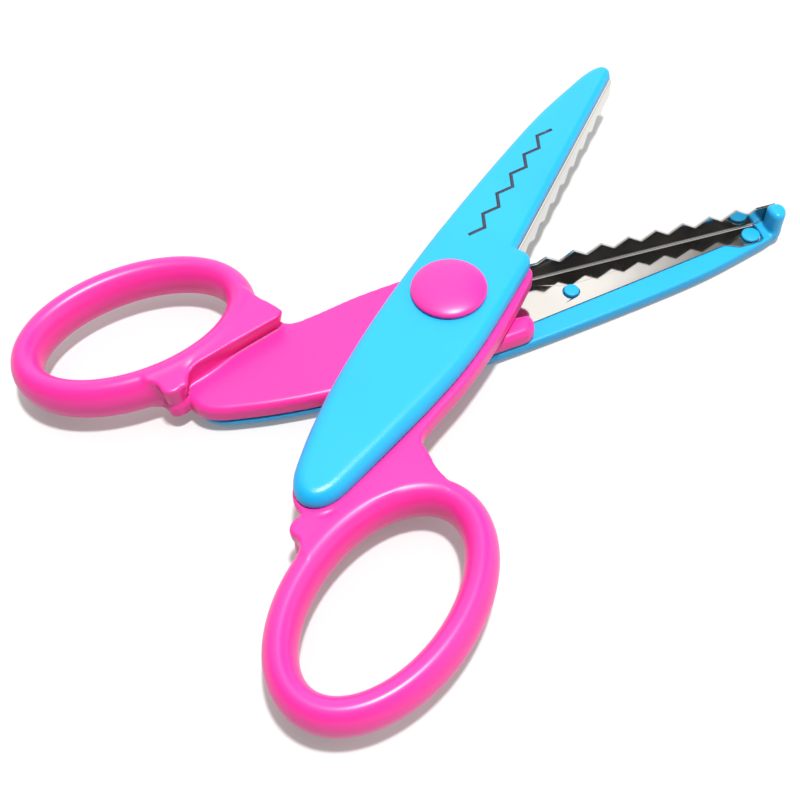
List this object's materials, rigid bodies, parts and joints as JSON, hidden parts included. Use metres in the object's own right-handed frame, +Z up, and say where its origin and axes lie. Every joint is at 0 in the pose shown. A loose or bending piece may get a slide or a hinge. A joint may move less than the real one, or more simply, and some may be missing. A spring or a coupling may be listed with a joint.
{
  "type": "decorative edge scissors",
  "caption": "Craft scissors with oval finger loops and bent steel blades whose upright walls cut a zigzag edge; one pivot opens and closes the two halves.",
  "frame": {"origin": "on the pivot axis, at the underside of the lower cover, where the scissors lie on a table", "axes": "+Z up along the pivot axis; +X midway between the open blades, towards the tips"},
  "size_m": [0.1222, 0.0952, 0.0143],
  "materials": {
    "cover_plastic": "satin moulded, sky blue",
    "handle_plastic": "glossy moulded, hot pink",
    "blade_steel": "bright polished stainless sheet",
    "rivet_steel": "plain turned steel"
  },
  "bodies": {
    "lower_half": {"lower_cover": "cover_plastic", "lower_handle": "handle_plastic", "lower_blade": "blade_steel", "pivot_cap": "handle_plastic", "pivot_rivet": "rivet_steel", "rivet_washer": "rivet_steel"},
    "upper_half": {"upper_cover": "cover_plastic", "upper_handle": "handle_plastic", "upper_blade": "blade_steel", "pivot_button": "handle_plastic"}
  },
  "joints": [
    {"name": "blade_pivot", "type": "hinge", "parent": "lower_half", "child": "upper_half", "pos_m": [0, 0, 0.0062], "axis": [0, 0, 1], "range_deg": [-36.8, 30]}
  ]
}
